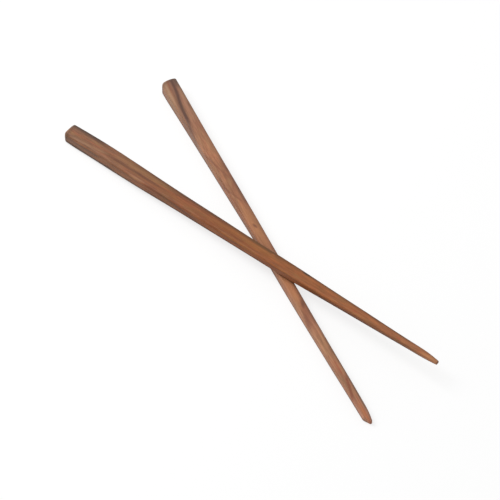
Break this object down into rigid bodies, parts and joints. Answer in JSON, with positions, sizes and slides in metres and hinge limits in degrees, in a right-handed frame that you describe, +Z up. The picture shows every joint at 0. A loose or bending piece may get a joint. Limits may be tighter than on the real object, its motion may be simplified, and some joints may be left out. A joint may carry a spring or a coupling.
{
  "type": "pair of wooden chopsticks",
  "caption": "Tapered square-section wooden chopsticks with eased edges, lying on a table, one resting across the other.",
  "frame": {"origin": "on the table, straight under the point where the two sticks cross, on the under stick's flat underside", "axes": "+X along the under stick towards its tip, +Z up from the table, +Y completes a right-handed frame, on the far side of the under stick"},
  "size_m": [0.2369, 0.1039, 0.0124],
  "materials": {
    "pale_wood": "hand-shaped hardwood, pinkish tan, rubbed smooth with a dull oil finish",
    "deep_wood": "hand-shaped hardwood, deeper red brown, rubbed smooth with a dull oil finish"
  },
  "bodies": {
    "root": {"under_chopstick": "pale_wood", "over_chopstick": "deep_wood"}
  },
  "joints": []
}
